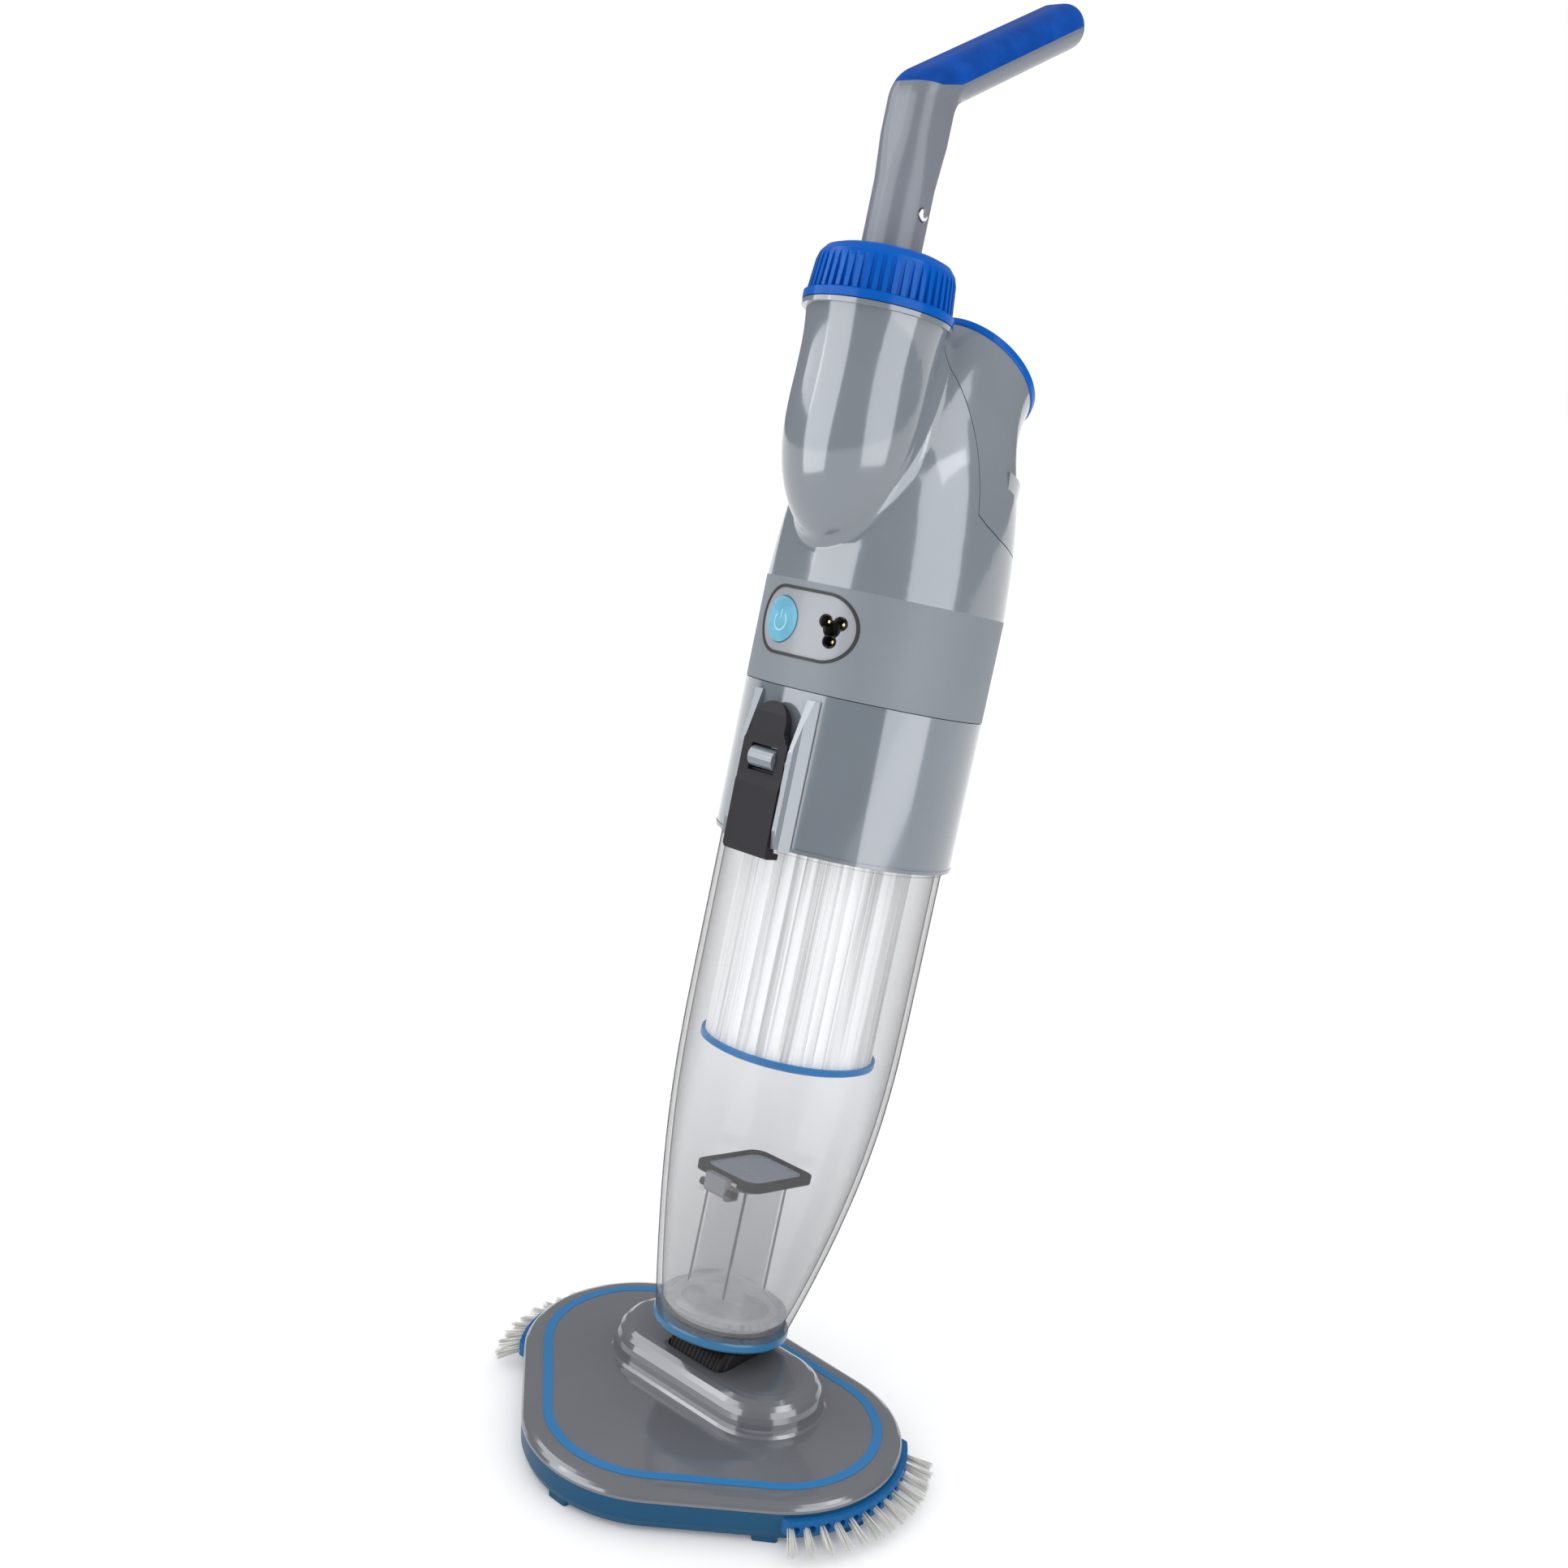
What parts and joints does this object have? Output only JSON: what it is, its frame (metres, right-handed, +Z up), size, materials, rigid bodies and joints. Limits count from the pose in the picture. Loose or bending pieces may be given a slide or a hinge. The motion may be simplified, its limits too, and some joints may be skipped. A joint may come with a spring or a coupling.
{
  "type": "cordless pool vacuum cleaner",
  "caption": "Upright hand-held pool vacuum: clear debris chamber with filter on a tilting brush head, gloss motor housing with front latch and panel, rear outlet and angled handle in a collar.",
  "frame": {"origin": "on the floor, under the middle of the floor head (midway between its two side lobes)", "axes": "+Z up; -Y the front, with the latch and the control panel; +X along the head's long side, towards the charge port's side"},
  "size_m": [0.2714, 0.3133, 0.749],
  "materials": {
    "skirt_blue": "satin",
    "shell_grey": "satin",
    "stripe_blue": "satin",
    "brush_blue": "satin",
    "bristle": "fine nylon",
    "steel": "satin",
    "snap_steel": "polished",
    "black_plastic": "satin",
    "blue_gloss": "gloss",
    "clear": "clear moulded plastic",
    "pale_grey": "satin",
    "dark_rubber": "matt",
    "filter_blue": "satin",
    "filter_cloth": "pleated cloth",
    "grey_gloss": "gloss",
    "band_grey": "fine matt",
    "charcoal": "satin",
    "motor_can": "plain",
    "cell_wrap": "shrink wrap",
    "board_green": "solder mask",
    "button_blue": "satin",
    "contact_brass": "gilt",
    "pipe_grey": "satin",
    "handle_grey": "satin",
    "grip_blue": "soft satin"
  },
  "bodies": {
    "head": {"head_base": "skirt_blue", "head_shell": "shell_grey", "head_stripe": "stripe_blue", "brush_strip_left": "brush_blue", "brush_strip_right": "brush_blue", "bristles_left": "bristle", "bristles_right": "bristle", "head_screws": "steel", "neck_pins": "steel"},
    "flap": {"flap_plate": "pale_grey", "flap_seal": "dark_rubber"},
    "latch": {"latch_lever": "charcoal"},
    "collar_cap": {"collar": "blue_gloss"},
    "power_key": {"power_button": "button_blue"},
    "handle": {"handle_body": "handle_grey", "grip_pad": "grip_blue", "snap_bend": "snap_steel"},
    "snap_left": {"snap_arm_left": "snap_steel"},
    "snap_right": {"snap_arm_right": "snap_steel"},
    "rotor": {"impeller": "pale_grey", "motor_shaft": "steel"},
    "wand": {"neck_knuckle": "black_plastic", "neck_ring": "blue_gloss", "debris_chamber": "clear", "inlet_duct": "clear", "flap_pin": "steel", "filter_rim": "filter_blue", "filter_pleats": "filter_cloth", "filter_core": "filter_blue", "filter_cap": "filter_blue", "chamber_seal": "dark_rubber", "bulkhead": "black_plastic", "lower_housing": "grey_gloss", "latch_pin": "steel", "pump_casing": "black_plastic", "shaft_seal": "dark_rubber", "motor": "motor_can", "battery_cells": "cell_wrap", "battery_holder": "black_plastic", "circuit_board": "board_green", "mid_band": "band_grey", "panel_gasket": "dark_rubber", "panel_insert": "pale_grey", "charge_port": "black_plastic", "charge_contacts": "contact_brass", "upper_housing": "grey_gloss", "rear_cover": "grey_gloss", "cover_screws": "steel", "outlet_ring": "blue_gloss", "outlet_pipe": "pipe_grey", "socket_sleeve": "pale_grey"}
  },
  "joints": [
    {"name": "neck_tilt", "type": "hinge", "parent": "head", "child": "wand", "pos_m": [0, 0.0112, 0.03], "axis": [-1, 0, 0], "range_deg": [-10, 20]},
    {"name": "flap_swing", "type": "hinge", "parent": "wand", "child": "flap", "pos_m": [0, -0.00235, 0.13774], "axis": [1, 0, 0], "range_deg": [0, 60]},
    {"name": "latch_swing", "type": "hinge", "parent": "wand", "child": "latch", "pos_m": [0, 0.01075, 0.36865], "axis": [-1, 0, 0], "range_deg": [0, 6], "stiffness_Nm_per_rad": 0.6, "springref_deg": -5.73},
    {"name": "collar_turn", "type": "hinge", "parent": "wand", "child": "collar_cap", "pos_m": [0, 0.07092, 0.59934], "axis": [0, 0.1959, 0.9806], "range_deg": [0, 120]},
    {"name": "power_press", "type": "slide", "parent": "wand", "child": "power_key", "axis": [0, 0.9806, -0.1959], "range_m": [0, 0.0015], "stiffness_N_per_m": 800, "springref_m": -0.0008},
    {"name": "handle_slide", "type": "slide", "parent": "wand", "child": "handle", "axis": [0, 0.1959, 0.9806], "range_m": [0, 0.05]},
    {"name": "snap_left_press", "type": "hinge", "parent": "handle", "child": "snap_left", "pos_m": [-0.01055, 0.06827, 0.5861], "axis": [0, 0.9806, -0.1959], "range_deg": [0, 4], "stiffness_Nm_per_rad": 2, "springref_deg": -1.72},
    {"name": "snap_right_press", "type": "hinge", "parent": "handle", "child": "snap_right", "pos_m": [0.01055, 0.06827, 0.5861], "axis": [0, -0.9806, 0.1959], "range_deg": [0, 4], "stiffness_Nm_per_rad": 2, "springref_deg": -1.72},
    {"name": "impeller_spin", "type": "hinge", "parent": "wand", "child": "rotor", "pos_m": [0, 0.07978, 0.37322], "axis": [0, 0.1959, 0.9806], "continuous": true}
  ]
}
